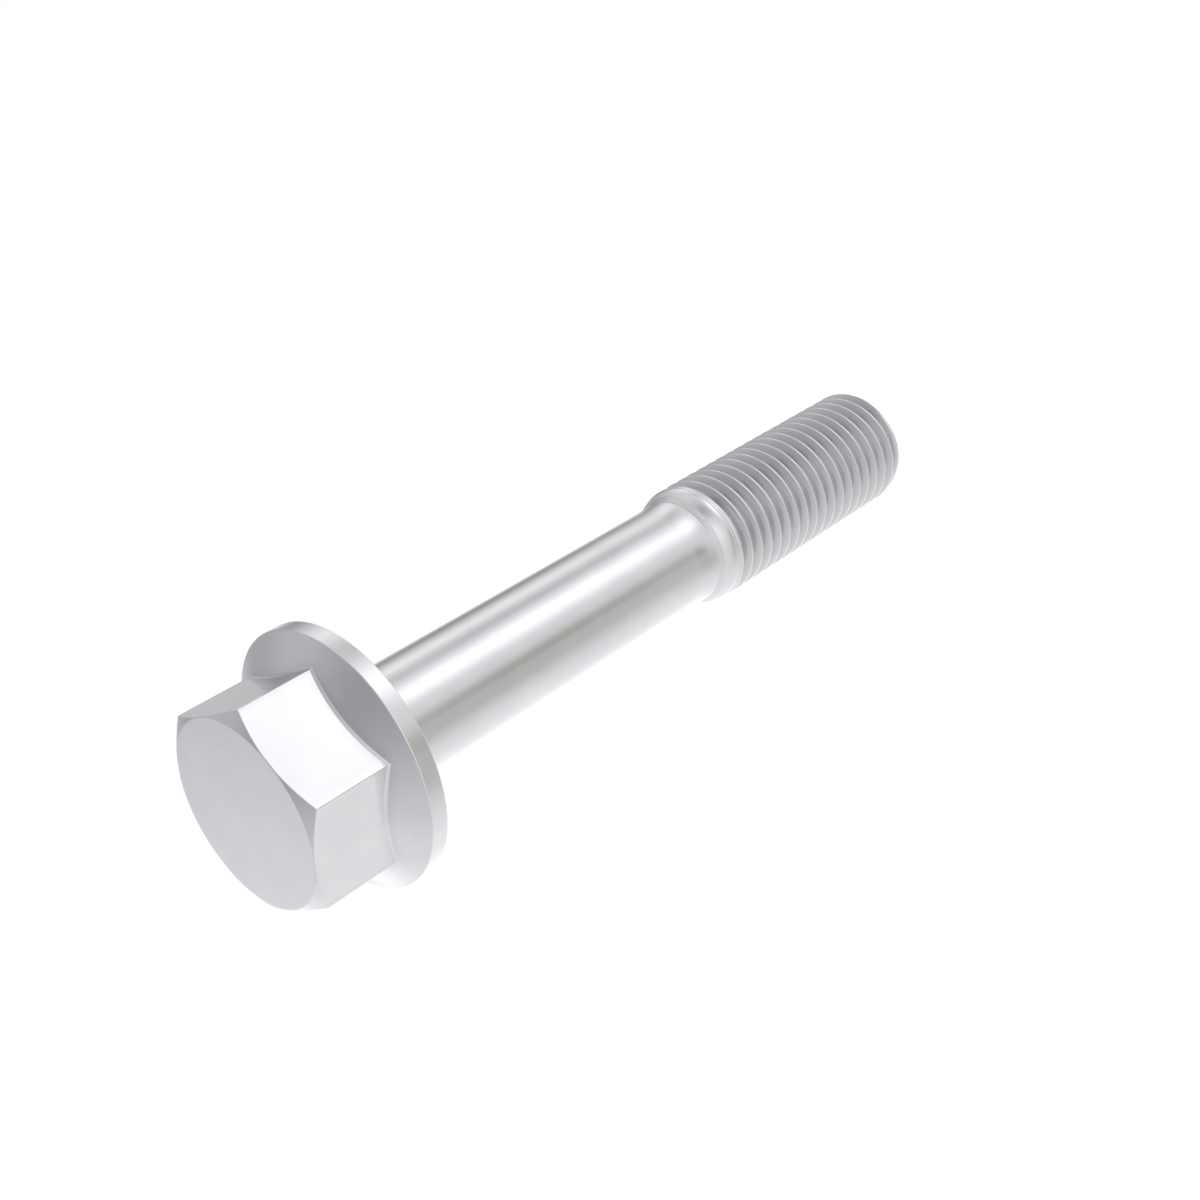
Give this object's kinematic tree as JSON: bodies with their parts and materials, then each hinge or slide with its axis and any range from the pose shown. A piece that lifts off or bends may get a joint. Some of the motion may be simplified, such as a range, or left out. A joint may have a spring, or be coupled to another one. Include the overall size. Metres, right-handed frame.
{
  "type": "flange bolt",
  "caption": "Hexagon flange bolt with a conical washer flange, a plain reduced shank and a fine metric thread with a chamfered tip.",
  "frame": {"origin": "centre of the head's flat end face, which the bolt stands on", "axes": "+Z along the bolt's axis, from the head towards the thread's tip"},
  "size_m": [0.0234, 0.0234, 0.0826],
  "materials": {
    "steel": "bright satin, plated steel"
  },
  "bodies": {
    "root": {"flange_bolt": "steel"}
  },
  "joints": []
}
